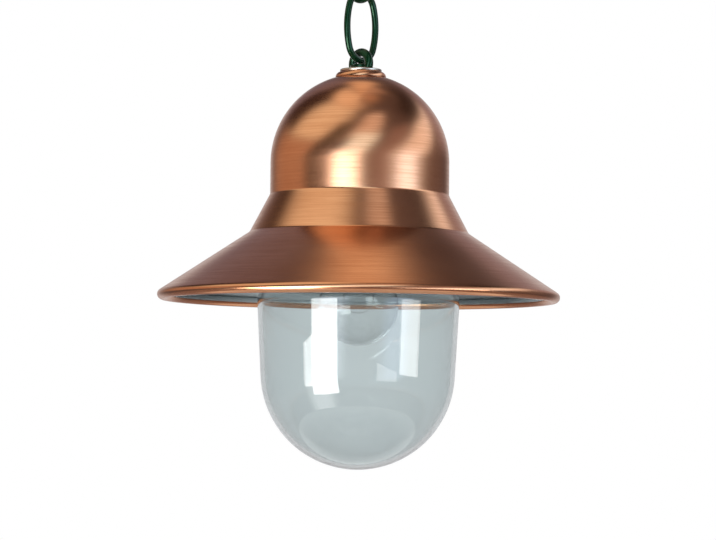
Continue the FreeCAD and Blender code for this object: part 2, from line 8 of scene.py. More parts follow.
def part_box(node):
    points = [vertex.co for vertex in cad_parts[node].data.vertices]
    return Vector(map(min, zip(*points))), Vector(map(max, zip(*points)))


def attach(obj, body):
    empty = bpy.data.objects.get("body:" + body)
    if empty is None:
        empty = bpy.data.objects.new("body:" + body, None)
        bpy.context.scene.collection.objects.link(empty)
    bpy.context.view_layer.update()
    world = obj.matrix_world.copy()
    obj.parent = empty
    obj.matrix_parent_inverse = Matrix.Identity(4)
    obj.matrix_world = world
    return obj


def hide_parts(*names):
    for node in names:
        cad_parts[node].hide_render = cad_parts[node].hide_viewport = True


bl_info = {
    "name": "Copper hanging lamp",
    "version": (1, 0, 0),
    "blender": (4, 5, 0),
    "location": "3D View > Sidebar > Lamp",
    "description": "Dresses the hanging lamp's frame with its visible pieces, finishes and stage",
    "category": "Object",
}

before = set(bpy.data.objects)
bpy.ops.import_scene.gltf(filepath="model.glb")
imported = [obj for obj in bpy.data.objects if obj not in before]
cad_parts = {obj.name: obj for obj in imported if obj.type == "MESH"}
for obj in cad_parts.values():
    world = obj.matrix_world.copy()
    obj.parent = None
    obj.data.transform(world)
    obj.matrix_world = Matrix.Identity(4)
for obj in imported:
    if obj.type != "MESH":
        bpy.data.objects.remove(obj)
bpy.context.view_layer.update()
MM = 0.001


def linear(code):
    """Linear colour, with alpha, of an sRGB hex value."""
    parts = [int(code[start:start + 2], 16) / 255 for start in (0, 2, 4)]
    return tuple(c / 12.92 if c <= 0.04045 else ((c + 0.055) / 1.055) ** 2.4 for c in parts) + (1.0,)


def length(name, description, default):
    return bpy.props.FloatProperty(
        name=name, description=description, default=default, min=0.0, unit="LENGTH", precision=5)


def turn(name, description, degrees):
    return bpy.props.FloatProperty(
        name=name, description=description, default=math.radians(degrees), subtype="ANGLE")


def colour(name, description, code):
    return bpy.props.FloatVectorProperty(
        name=name, description=description, default=linear(code), size=4, min=0.0, max=1.0, subtype="COLOR")


class ShadeSizes(bpy.types.PropertyGroup):
    """Sizes of the spun shade and of what is clamped on its top."""
    sheet: length("Sheet", "Thickness of the copper sheet", 1.2 * MM)
    dome_radius: length("Dome radius", "Outside of the half round top", 66.9 * MM)
    dome_wall: length("Dome wall", "Straight wall below the half round", 23.9 * MM)
    collar_radius: length("Collar radius", "Foot of the steep collar", 81.9 * MM)
    collar_height: length("Collar height", "Height of the steep collar", 28.6 * MM)
    brim_height: length("Brim height", "From the middle of the rolled rim up to the collar", 47.2 * MM)
    rim_radius: length("Rim radius", "Outside of the rolled rim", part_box("shade")[1].x)
    bead: length("Rolled rim", "Outside of the curl at the rim", 8 * MM)
    curl: turn("Curl", "How far the rim is rolled round", 300)
    eye_foot: length("Eye foot", "Thickness of the foot of the eye", 2.8 * MM)
    eye_web: length("Eye web", "Rise of the shallow web at the foot of the eye's hole", 1.2 * MM)
    eye_web_radius: length("Eye web radius", "Radius of that web", 6.6 * MM)
    lining_turn: turn("Lining edge", "How far round the curl the grey lacquer begins", 190)
    crease: length("Crease", "Radius of the two bends in the sheet", 3 * MM)
    stud_hole: length("Stud hole", "Radius of the hole in the top", 5.3 * MM)
    inlet_hole: length("Inlet hole", "Width of the hole for the cable grommet", 10.4 * MM)
    inlet_tilt: turn("Inlet tilt", "Lean of the cable inlet to the back", 38)
    rosette_sheet: length("Rosette sheet", "Thickness of the small cap ring", 1.0 * MM)
    rosette_lip: length("Rosette lip", "Straight lip below the cap ring's round edge", 0.2 * MM)
    washer_round: length("Washer edge", "Rounding of the plated washer", 0.7 * MM)


class GlassSizes(bpy.types.PropertyGroup):
    """Sizes of the blown glass."""
    radius: length("Radius", "Widest part, at the shoulder", 75.5 * MM)
    taper: turn("Taper", "Lean of the side", 3.2)
    wall: length("Wall", "Thickness of the glass", 3.2 * MM)
    depth: length("Depth", "From the ledge to the bottom", 138 * MM)
    shoulder: length("Shoulder", "Rounding of the shoulder", 12 * MM)
    neck_radius: length("Neck radius", "Outside of the neck", 49.5 * MM)
    neck_height: length("Neck height", "Neck above the ledge", 24 * MM)
    neck_round: length("Neck rounding", "Where the neck stands on the ledge", 3.5 * MM)
    thread_depth: length("Thread depth", "Height of the moulded thread", 0.4 * MM)
    thread_pitch: length("Thread pitch", "Rise of the moulded thread in one turn", 6 * MM)


class ChainSizes(bpy.types.PropertyGroup):
    """Sizes of the hook and the chain."""
    link_wire: length("Link wire", "Thickness of a link", 5 * MM)
    link_length: length("Link length", "Inside of a link", 46 * MM)
    link_width: length("Link width", "Inside of a link", 24.8 * MM)
    link_end: length("Link end", "Radius of the middle of a link's round end", 13 * MM)
    plane: turn("Plane", "Turn of the lower link and the hook round the lamp's axis", 45)
    hook_wire: length("Hook wire", "Thickness of the hook", 6 * MM)
    hook_bow: length("Hook bow", "Radius of the middle of the bow", 14 * MM)
    hook_bend: length("Hook bend", "Radius of the bend between neck and bow", 8 * MM)
    hook_neck: length("Hook neck", "Straight neck below the plate", 5 * MM)
    hook_tip: turn("Hook tip", "Where the bow ends", 150)
    plate: length("Hook plate", "Thickness of the plate under the ceiling", 3 * MM)
    plate_radius: length("Hook plate radius", "Outside of the plate under the ceiling", 12 * MM)
    plate_round: length("Plate edge", "Rounding of the plate's lower edge", 1.2 * MM)
    shank: length("Shank", "Full round of the shank above the ceiling", 34 * MM)
    thread_depth: length("Thread depth", "Depth of the shank's wood thread", 0.8 * MM)
    thread_pitch: length("Thread pitch", "Rise of the wood thread in one turn", 2.4 * MM)


class BulbSizes(bpy.types.PropertyGroup):
    """Sizes of the clear bulb."""
    radius: length("Radius", "Round part of the bulb", 30 * MM)
    wall: length("Wall", "Thickness of the bulb's glass", 0.8 * MM)
    neck_radius: length("Neck radius", "Neck of the bulb", 12.3 * MM)
    flare: length("Flare", "Radius of the hollow between neck and round", 30 * MM)
    cap_sheet: length("Cap sheet", "Thickness of the metal cap", 0.5 * MM)
    cap_round: length("Cap rounding", "Upper edge of the metal cap", 1.5 * MM)
    thread_depth: length("Thread depth", "Height of the cap's rolled thread", 0.45 * MM)
    thread_pitch: length("Thread pitch", "Rise of the cap's thread in one turn", 3.6 * MM)
    filament: length("Filament", "Thickness of the coiled filament", 0.7 * MM)


class Finishes(bpy.types.PropertyGroup):
    """Colours of the lamp's surfaces."""
    copper: colour("Copper", "Clean brushed copper", "E6AB83")
    copper_dull: colour("Dull copper", "Copper where it has toned down", "C9885F")
    lining: colour("Lining", "Grey lacquer inside the shade", "B4BEC0")
    green: colour("Green enamel", "Chain, hook and eye", "052613")
    nickel: colour("Nickel", "Plated washer", "D2CBBE")
    glass: colour("Glass", "Tint of one wall of the glass", "DBE2E3")
    bulb: colour("Bulb glass", "Tint of the bulb's glass", "FBFCFC")
    rubber: colour("Rubber", "Seal, gasket and grommet", "1B1B1A")
    porcelain: colour("Porcelain", "Lampholder", "ECE9E0")


class StageSettings(bpy.types.PropertyGroup):
    """Camera and light of the stage."""
    distance: length("Distance", "Camera from the lamp's axis", 2.0017)
    aside: bpy.props.FloatProperty(
        name="Aside", description="Camera beside the lamp's axis", default=-0.0006,
        unit="LENGTH", precision=5)
    eye_level: length("Eye level", "Camera below the ceiling", 0.401)
    aim_level: length("Aim", "Middle of the picture below the ceiling", 0.2907)
    roll: turn("Roll", "Turn of the camera", 0.6)
    lens: bpy.props.FloatProperty(
        name="Lens", description="Focal length in millimetres", default=135.0, min=1.0,
        subtype="DISTANCE_CAMERA")
    floor_level: length("Floor", "Floor below the ceiling", 2.4)
    ambient: bpy.props.FloatProperty(
        name="Ambient", description="Even light of the surroundings", default=0.25, min=0.0, subtype="FACTOR")


class LampSettings(bpy.types.PropertyGroup):
    """All that a user would change."""
    shade: bpy.props.PointerProperty(type=ShadeSizes, name="Shade", description="Spun shade")
    glass: bpy.props.PointerProperty(type=GlassSizes, name="Glass", description="Blown glass")
    chain: bpy.props.PointerProperty(type=ChainSizes, name="Chain", description="Hook and chain")
    bulb: bpy.props.PointerProperty(type=BulbSizes, name="Bulb", description="Clear bulb")
    finishes: bpy.props.PointerProperty(type=Finishes, name="Finishes", description="Colours")
    stage: bpy.props.PointerProperty(type=StageSettings, name="Stage", description="Camera and light")


# Node trees

def add(tree, kind, inputs=None, **settings):
    """Add a node, give it its settings, and fill or link its inputs."""
    node = tree.nodes.new(kind)
    for key, value in settings.items():
        setattr(node, key, value)
    for key, value in (inputs or {}).items():
        if isinstance(value, bpy.types.Node):
            value = value.outputs[0]
        if isinstance(value, bpy.types.NodeSocket):
            tree.links.new(value, node.inputs[key])
        else:
            node.inputs[key].default_value = value
    return node


def new_tree(name, sockets):
    """Geometry tree with named inputs, its Group Input and its output geometry socket."""
    tree = bpy.data.node_groups.new(name, "GeometryNodeTree")
    tree.interface.new_socket("Geometry", in_out="INPUT", socket_type="NodeSocketGeometry")
    for socket, kind in sockets.items():
        tree.interface.new_socket(socket, in_out="INPUT", socket_type="NodeSocket" + kind)
    tree.interface.new_socket("Geometry", in_out="OUTPUT", socket_type="NodeSocketGeometry")
    given = add(tree, "NodeGroupInput").outputs
    return tree, given, add(tree, "NodeGroupOutput").inputs[0]


def spun_tree():
    """Spins a profile, drawn as a closed run of points in the XZ plane, round the vertical axis.

    A rounded thread may be pressed into the sheet between two levels, and the rows from Inside Row on
    get the inside material.
    """
    tree, given, result = new_tree("spun profile", {
        "Segments": "Int", "Inside Row": "Int", "Thread Depth": "Float", "Thread Pitch": "Float",
        "Thread Low": "Float", "Thread High": "Float", "Material": "Material", "Inside Material": "Material"})
    rows = add(tree, "GeometryNodeAttributeDomainSize", {"Geometry": given["Geometry"]}, component="MESH")
    columns = add(tree, "ShaderNodeMath", {0: given["Segments"], 1: 1.0}, operation="ADD")
    grid = add(tree, "GeometryNodeMeshGrid", {"Vertices X": columns, "Vertices Y": rows})
    index = add(tree, "GeometryNodeInputIndex")
    row = add(tree, "ShaderNodeMath", {0: index, 1: rows}, operation="MODULO")
    column = add(tree, "ShaderNodeMath", {
        0: add(tree, "ShaderNodeMath", {0: index, 1: rows}, operation="DIVIDE")}, operation="FLOOR")
    part = add(tree, "ShaderNodeMath", {0: column, 1: given["Segments"]}, operation="DIVIDE")
    place = add(tree, "GeometryNodeSampleIndex", {
        "Geometry": given["Geometry"], "Value": add(tree, "GeometryNodeInputPosition"), "Index": row},
        data_type="FLOAT_VECTOR", domain="POINT")
    profile = add(tree, "ShaderNodeSeparateXYZ", {0: place}).outputs

    turns = add(tree, "ShaderNodeMath", {
        0: add(tree, "ShaderNodeMath", {0: profile["Z"], 1: given["Thread Pitch"]}, operation="DIVIDE"),
        1: part}, operation="SUBTRACT")
    wave = add(tree, "ShaderNodeMath", {
        0: add(tree, "ShaderNodeMath", {0: turns, 1: 2 * math.pi}, operation="MULTIPLY")}, operation="SINE")
    fade_in = add(tree, "ShaderNodeMath", {0: given["Thread Low"], 1: given["Thread Pitch"]}, operation="ADD")
    fade_out = add(tree, "ShaderNodeMath", {
        0: given["Thread High"], 1: given["Thread Pitch"]}, operation="SUBTRACT")
    begin, end = (
        add(tree, "ShaderNodeMapRange", {
            "Value": profile["Z"], "From Min": outer, "From Max": inner}, interpolation_type="SMOOTHSTEP")
        for outer, inner in ((given["Thread Low"], fade_in), (given["Thread High"], fade_out)))
    window = add(tree, "ShaderNodeMath", {0: begin, 1: end}, operation="MULTIPLY")
    depth = add(tree, "ShaderNodeMath", {0: window, 1: given["Thread Depth"]}, operation="MULTIPLY")
    half = add(tree, "ShaderNodeMath", {0: wave, 1: 0.5, 2: -0.5}, operation="MULTIPLY_ADD")
    radius = add(tree, "ShaderNodeMath", {0: half, 1: depth, 2: profile["X"]}, operation="MULTIPLY_ADD")

    spin = add(tree, "ShaderNodeMath", {0: part, 1: 2 * math.pi}, operation="MULTIPLY")
    around = [
        add(tree, "ShaderNodeMath", {
            0: radius, 1: add(tree, "ShaderNodeMath", {0: spin}, operation=kind)}, operation="MULTIPLY")
        for kind in ("COSINE", "SINE")]
    position = add(tree, "ShaderNodeCombineXYZ", {"X": around[0], "Y": around[1], "Z": profile["Z"]})
    rowed = add(tree, "GeometryNodeStoreNamedAttribute", {
        "Geometry": grid, "Name": "row", "Value": row}, data_type="FLOAT", domain="POINT")
    placed = add(tree, "GeometryNodeSetPosition", {"Geometry": rowed, "Position": position})
    face_row = add(tree, "GeometryNodeInputNamedAttribute", {"Name": "row"}, data_type="FLOAT")
    inner = add(tree, "FunctionNodeCompare", {0: face_row, 1: given["Inside Row"]}, operation="GREATER_THAN")
    lined = add(tree, "GeometryNodeStoreNamedAttribute", {
        "Geometry": placed, "Name": "inside", "Value": inner}, data_type="BOOLEAN", domain="FACE")
    closed = add(tree, "GeometryNodeMergeByDistance", {"Geometry": lined, "Distance": 0.001 * MM})
    bare = add(tree, "GeometryNodeRemoveAttribute", {"Geometry": closed, "Name": "row"})
    smooth = add(tree, "GeometryNodeSetShadeSmooth", {0: bare})
    angle = add(tree, "GeometryNodeInputMeshEdgeAngle")
    sharp = add(tree, "FunctionNodeCompare", {0: angle, 1: math.radians(50)}, operation="GREATER_THAN")
    edged = add(tree, "GeometryNodeSetShadeSmooth", {
        0: smooth, "Selection": sharp, "Shade Smooth": False}, domain="EDGE")
    real = add(tree, "GeometryNodeRealizeInstances", {"Geometry": edged})
    outside = add(tree, "GeometryNodeSetMaterial", {"Geometry": real, "Material": given["Material"]})
    within = add(tree, "GeometryNodeInputNamedAttribute", {"Name": "inside"}, data_type="BOOLEAN")
    both = add(tree, "GeometryNodeSetMaterial", {
        "Geometry": outside, "Selection": within, "Material": given["Inside Material"]})
    tree.links.new(both.outputs[0], result)


def wire_tree():
    """Bends a round wire along a run of edges drawn in the XZ plane, turned to its own plane and level."""
    tree, given, result = new_tree("bent wire", {
        "Wire Radius": "Float", "Sides": "Int", "Plane": "Float", "Level": "Float", "Material": "Material"})
    path = add(tree, "GeometryNodeMeshToCurve", {0: given["Geometry"]})
    section = add(tree, "GeometryNodeCurvePrimitiveCircle", {
        "Resolution": given["Sides"], "Radius": given["Wire Radius"]})
    wire = add(tree, "GeometryNodeCurveToMesh", {"Curve": path, "Profile Curve": section, "Fill Caps": True})
    place = add(tree, "ShaderNodeCombineXYZ", {"Z": given["Level"]})
    rotation = add(tree, "ShaderNodeCombineXYZ", {"Z": given["Plane"]})
    turned = add(tree, "GeometryNodeTransform", {
        "Geometry": wire, "Translation": place, "Rotation": rotation})
    smooth = add(tree, "GeometryNodeSetShadeSmooth", {0: turned})
    real = add(tree, "GeometryNodeRealizeInstances", {"Geometry": smooth})
    made = add(tree, "GeometryNodeSetMaterial", {"Geometry": real, "Material": given["Material"]})
    tree.links.new(made.outputs[0], result)


# Profiles and paths in the XZ plane, as runs of 2D points

def run(start, end, spacing):
    """Points from one end of a straight line to the other."""
    count = max(1, math.ceil((end - start).length / spacing))
    return [start.lerp(end, step / count) for step in range(count + 1)]


def arc(middle, radius, start, end, spacing):
    """Points on an arc between two angles."""
    count = max(6, math.ceil(abs(end - start) * radius / spacing))
    turns = [start + (end - start) * step / count for step in range(count + 1)]
    return [middle + Vector((math.cos(t), math.sin(t))) * radius for t in turns]


def rounded(corners, radii, spacing, steps=10):
    """Points along straight lines whose inner corners are rounded."""
    points = []
    last = corners[0]
    for before, corner, after, radius in zip(corners, corners[1:], corners[2:], radii):
        back = (before - corner).normalized()
        ahead = (after - corner).normalized()
        half = back.angle(ahead) / 2
        middle = corner + (back + ahead).normalized() * radius / math.sin(half)
        start = corner + back * radius / math.tan(half) - middle
        end = corner + ahead * radius / math.tan(half) - middle
        points += run(last, middle + start, spacing)
        points += [middle + start.slerp(end, step / steps) * radius for step in range(1, steps + 1)]
        last = middle + end
    return points + run(last, corners[-1], spacing)


def single(points):
    """The run without points that repeat the one before."""
    kept = points[:1]
    for point in points[1:]:
        if (point - kept[-1]).length > 0.0001 * MM:
            kept.append(point)
    return kept


def sheet(points, thickness):
    """Closed run round a sheet that lies on the inner side of a run of points."""
    outside = single(points)
    inside = []
    for before, here, after in zip(outside[:1] + outside, outside, outside[1:] + outside[-1:]):
        along = (after - before).normalized()
        across = here + Vector((along.y, -along.x)) * thickness
        inside.append(Vector((max(across.x, 0.0), across.y)))
    return outside + inside[::-1] + outside[:1]


def upright(points):
    return [(x, 0.0, z) for x, z in points]


def cleaned(mesh):
    """Drop what a pole leaves behind, so only faces and their edges stay."""
    work = bmesh.new()
    work.from_mesh(mesh)
    bmesh.ops.dissolve_degenerate(work, dist=0.0001 * MM, edges=work.edges)
    bmesh.ops.delete(work, geom=[edge for edge in work.edges if not edge.link_faces], context="EDGES")
    bmesh.ops.delete(work, geom=[vert for vert in work.verts if not vert.link_faces], context="VERTS")
    bmesh.ops.recalc_face_normals(work, faces=work.faces)
    work.to_mesh(mesh)
    work.free()
    return mesh


def made(tree, points, values, closed=False):
    """Plain mesh that a tree makes from a run of points."""
    last = len(points) - 1
    edges = [(step, step + 1) for step in range(last)] + ([(last, 0)] if closed else [])
    drawing = bpy.data.meshes.new("drawing")
    drawing.from_pydata(points, edges, [])
    maker = bpy.data.objects.new("maker", drawing)
    bpy.context.scene.collection.objects.link(maker)
    modifier = maker.modifiers.new("tree", "NODES")
    modifier.node_group = tree
    for item in tree.interface.items_tree:
        if item.in_out == "INPUT" and item.name in values:
            modifier[item.identifier] = values[item.name]
    mesh = bpy.data.meshes.new_from_object(maker.evaluated_get(bpy.context.evaluated_depsgraph_get()))
    bpy.data.objects.remove(maker)
    bpy.data.meshes.remove(drawing)
    if "inside" in mesh.attributes:
        mesh.attributes.remove(mesh.attributes["inside"])
    # The tree's mesh may begin with an empty slot, which no face uses.
    if mesh.materials[0] is None:
        mesh.materials.pop(index=0)
    return cleaned(mesh)


def joined(*meshes):
    """One mesh of several that share their first material."""
    work = bmesh.new()
    for mesh in meshes:
        work.from_mesh(mesh)
    work.to_mesh(meshes[0])
    work.free()
    return meshes[0]


def smooth_copy(node, finish, sharp=math.radians(35)):
    """Copy of a CAD node's mesh with its loose triangles merged and smoothed up to the sharp edges."""
    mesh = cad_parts[node].data.copy()
    if "custom_normal" in mesh.attributes:
        mesh.attributes.remove(mesh.attributes["custom_normal"])
    work = bmesh.new()
    work.from_mesh(mesh)
    bmesh.ops.remove_doubles(work, verts=work.verts, dist=0.002 * MM)
    for face in work.faces:
        face.smooth = True
        face.material_index = 0
    for edge in work.edges:
        edge.smooth = edge.calc_face_angle(0.0) < sharp
    work.to_mesh(mesh)
    work.free()
    mesh.materials.clear()
    mesh.materials.append(finish)
    return mesh


def piece(name, mesh, body, slot, *nodes, mirrored=True):
    """Shown piece that rides on a body and stands for CAD nodes, which it hides. The slot is not used.
    One that isn't mirrored is left out of reflections."""
    mesh.name = name
    shown = bpy.data.objects.new(name, mesh)
    shown.visible_glossy = mirrored
    bpy.context.scene.collection.objects.link(shown)
    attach(shown, body)
    if nodes:
        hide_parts(*nodes)
    return shown


# Materials. Patterns read Object coordinates, in metres, so their scales are one over a real size.

def surface(name, base, sockets):
    """Named material: its tree, its shader with even values set, and the Object coordinates."""
    finish = bpy.data.materials.new(name)
    finish.use_nodes = True
    tree = finish.node_tree
    shader = tree.nodes["Principled BSDF"]
    shader.inputs["Base Color"].default_value = base
    for key, value in sockets.items():
        shader.inputs[key].default_value = value
    return tree, shader, add(tree, "ShaderNodeTexCoord").outputs["Object"]


def grain(tree, shader, vector, size, tones, roughness, height):
    """Noise of a real grain size that varies colour and roughness and lifts the surface."""
    noise = add(tree, "ShaderNodeTexNoise", {"Vector": vector, "Scale": 1.0 / size, "Detail": 4.0})
    spread = add(tree, "ShaderNodeMapRange", {"Value": noise, "From Min": 0.3, "From Max": 0.7})
    mixed = add(tree, "ShaderNodeMix", {0: spread, 6: tones[0], 7: tones[1]}, data_type="RGBA")
    rough = add(tree, "ShaderNodeMapRange", {"Value": spread, "To Min": roughness[0], "To Max": roughness[1]})
    bump = add(tree, "ShaderNodeBump", {"Height": noise, "Distance": height, "Strength": 1.0})
    tree.links.new(mixed.outputs[2], shader.inputs["Base Color"])
    tree.links.new(rough.outputs[0], shader.inputs["Roughness"])
    tree.links.new(bump.outputs[0], shader.inputs["Normal"])


def spun_copper(clean, dull):
    """Sheet copper, spun and brushed on the lathe: fine rings round the axis, which stretch highlights
    up and down the profile, and a faint cloudy toning."""
    tree, shader, place = surface("spun brushed copper", clean, {"Metallic": 1.0, "Anisotropic": 0.4})
    parts = add(tree, "ShaderNodeSeparateXYZ", {0: place}).outputs
    flat = add(tree, "ShaderNodeCombineXYZ", {"X": parts["X"], "Y": parts["Y"]})
    radius = add(tree, "ShaderNodeVectorMath", {0: flat}, operation="LENGTH")
    along = add(tree, "ShaderNodeMath", {0: parts["Z"], 1: radius.outputs["Value"]}, operation="SUBTRACT")
    # Brush marks are about 0.1 mm apart and don't show at this size, so the streaks are drawn 1.6 mm apart.
    lines = add(tree, "ShaderNodeCombineXYZ", {"X": parts["X"], "Y": parts["Y"], "Z": along})
    drawn = add(tree, "ShaderNodeVectorMath", {
        0: lines, 1: (1 / (55 * MM), 1 / (55 * MM), 1 / (1.6 * MM))}, operation="MULTIPLY")
    streak = add(tree, "ShaderNodeTexNoise", {"Vector": drawn, "Scale": 1.0, "Detail": 3.0, "Roughness": 0.6})
    cloud = add(tree, "ShaderNodeTexNoise", {"Vector": place, "Scale": 1 / (45 * MM), "Detail": 3.0})
    toned = add(tree, "ShaderNodeMath", {0: streak, 1: cloud}, operation="ADD")
    share = add(tree, "ShaderNodeMapRange", {"Value": toned, "From Min": 0.7, "From Max": 1.6})
    mixed = add(tree, "ShaderNodeMix", {0: share, 6: clean, 7: dull}, data_type="RGBA")
    rough = add(tree, "ShaderNodeMapRange", {
        "Value": streak, "From Min": 0.3, "From Max": 0.7, "To Min": 0.17, "To Max": 0.24})
    bump = add(tree, "ShaderNodeBump", {"Height": streak, "Distance": 0.004 * MM, "Strength": 1.0})
    tangent = add(tree, "ShaderNodeTangent", direction_type="RADIAL", axis="Z")
    tree.links.new(mixed.outputs[2], shader.inputs["Base Color"])
    tree.links.new(rough.outputs[0], shader.inputs["Roughness"])
    tree.links.new(bump.outputs[0], shader.inputs["Normal"])
    tree.links.new(tangent.outputs[0], shader.inputs["Tangent"])


def dimmed(tone, share):
    return tuple(share * part for part in tone[:3]) + (1.0,)


def clear_glass(name, tint, bending, wave, height):
    """Blown soda-lime glass: even, faintly tinted, with soft waves that bend the edges of a highlight."""
    tree, shader, place = surface(name, tint, {
        "Roughness": 0.0, "IOR": bending, "Transmission Weight": 1.0})
    noise = add(tree, "ShaderNodeTexNoise", {"Vector": place, "Scale": 1.0 / wave, "Detail": 1.0})
    # A wall seen at a slant is a longer way through the glass, so it tints more.
    slant = add(tree, "ShaderNodeLayerWeight", {"Blend": 0.5}).outputs["Facing"]
    mixed = add(tree, "ShaderNodeMix", {0: slant, 6: tint, 7: dimmed(tint, 0.85)}, data_type="RGBA")
    bump = add(tree, "ShaderNodeBump", {"Height": noise, "Distance": height, "Strength": 1.0})
    tree.links.new(mixed.outputs[2], shader.inputs["Base Color"])
    tree.links.new(bump.outputs[0], shader.inputs["Normal"])


def make_materials(tones):
    spun_copper(tuple(tones.copper), tuple(tones.copper_dull))
    clear_glass("blown clear glass", tuple(tones.glass), 1.5, 28 * MM, 0.05 * MM)
    clear_glass("thin bulb glass", tuple(tones.bulb), 1.45, 12 * MM, 0.01 * MM)
    metal = {"Metallic": 1.0}
    coat = {"Coat Weight": 0.1, "Coat Roughness": 0.04, "Specular IOR Level": 0.4,
            "Specular Tint": linear("8CD2A2")}
    glaze = {"Coat Weight": 0.5, "Coat Roughness": 0.05}
    zinc = linear("B4B6B8")
    aluminium = linear("B9BBBC")
    brass = linear("CDA65A")
    urea = linear("DEDACB")
    brown = linear("4A2A18")
    blue = linear("1F4A94")
    bright = linear("CFCFCC")
    black = linear("161618")
    tungsten = linear("77736E")
    # name: base colour, darker share, even sockets, grain in mm, roughness from and to, height in mm
    finishes = {
        # Sprayed grey lacquer: satin, with a fine even orange peel
        "grey satin lacquer": (tones.lining, 0.93, {}, 3.0, (0.36, 0.46), 0.02),
        # Stoved enamel on steel wire: deep and glossy, slightly uneven where it ran
        "green stoved enamel": (tones.green, 0.66, coat, 4.0, (0.05, 0.11), 0.02),
        # Bright nickel plate on a turned washer: a clean mirror with faint haze
        "bright nickel plate": (tones.nickel, 0.9, metal, 2.5, (0.12, 0.22), 0.004),
        # Moulded rubber: dull, with a fine tooth
        "moulded black rubber": (tones.rubber, 0.75, {}, 0.8, (0.6, 0.75), 0.03),
        # Zinc plate on pressed steel: pale and cloudy, with a spangle of a few millimetres
        "zinc plated steel": (zinc, 0.78, metal, 3.5, (0.3, 0.48), 0.008),
        # Die-cast aluminium as cast: dull and finely pitted
        "cast aluminium": (aluminium, 0.82, metal, 1.2, (0.42, 0.6), 0.05),
        # Glazed porcelain: glossy white, with slow waves in the glaze
        "glazed porcelain": (tones.porcelain, 0.95, glaze, 9.0, (0.12, 0.2), 0.04),
        # Turned brass: warm and bright, with fine tool marks
        "turned brass": (brass, 0.82, metal, 0.9, (0.22, 0.36), 0.008),
        # Moulded urea: ivory and half matt
        "ivory moulded urea": (urea, 0.93, {}, 1.5, (0.35, 0.5), 0.02),
        # Extruded PVC on a lead: soft gloss
        "brown PVC lead": (brown, 0.85, {}, 2.0, (0.32, 0.45), 0.02),
        "blue PVC lead": (blue, 0.85, {}, 2.0, (0.32, 0.45), 0.02),
        # Drawn aluminium cap: bright, with faint drawing haze
        "drawn aluminium": (bright, 0.86, metal, 1.5, (0.2, 0.32), 0.006),
        # Vitrite: black glass, pressed and shiny
        "black vitrite": (black, 0.7, {}, 2.0, (0.1, 0.2), 0.01),
        # Tungsten and nickel wire: grey, drawn
        "drawn filament wire": (tungsten, 0.75, metal, 0.5, (0.3, 0.45), 0.004),
    }
    for name, (tone, share, sockets, size, roughness, height) in finishes.items():
        tree, shader, place = surface(name, tuple(tone), sockets)
        grain(tree, shader, place, size * MM, (tuple(tone), dimmed(tone, share)), roughness, height * MM)


def material(name):
    return bpy.data.materials[name]


def spun(points, finish, inside_row=None, inside=None, segments=192, thread=(0.0, 0.0, 0.0, 0.0)):
    """Mesh of a profile spun round the lamp's axis. The thread is its depth, pitch and two levels."""
    return made(bpy.data.node_groups["spun profile"], upright(points), {
        "Segments": segments,
        "Inside Row": len(points) if inside_row is None else inside_row,
        "Thread Depth": thread[0], "Thread Pitch": thread[1],
        "Thread Low": thread[2], "Thread High": thread[3],
        "Material": material(finish), "Inside Material": material(inside or finish)})


def bent(points, radius, finish, plane=0.0, level=0.0, closed=False, sides=32):
    """Mesh of a round wire along a run of points."""
    return made(bpy.data.node_groups["bent wire"], points, {
        "Wire Radius": radius, "Sides": sides, "Plane": plane, "Level": level,
        "Material": material(finish)}, closed)


# Operators, one for each piece or group of like pieces

class LAMP_OT_finishes(bpy.types.Operator):
    """Make the materials and the node trees that the pieces share"""
    bl_idname = "lamp.finishes"
    bl_label = "Finishes"

    def execute(self, context):
        make_materials(context.scene.hanging_lamp.finishes)
        spun_tree()
        wire_tree()
        return {"FINISHED"}


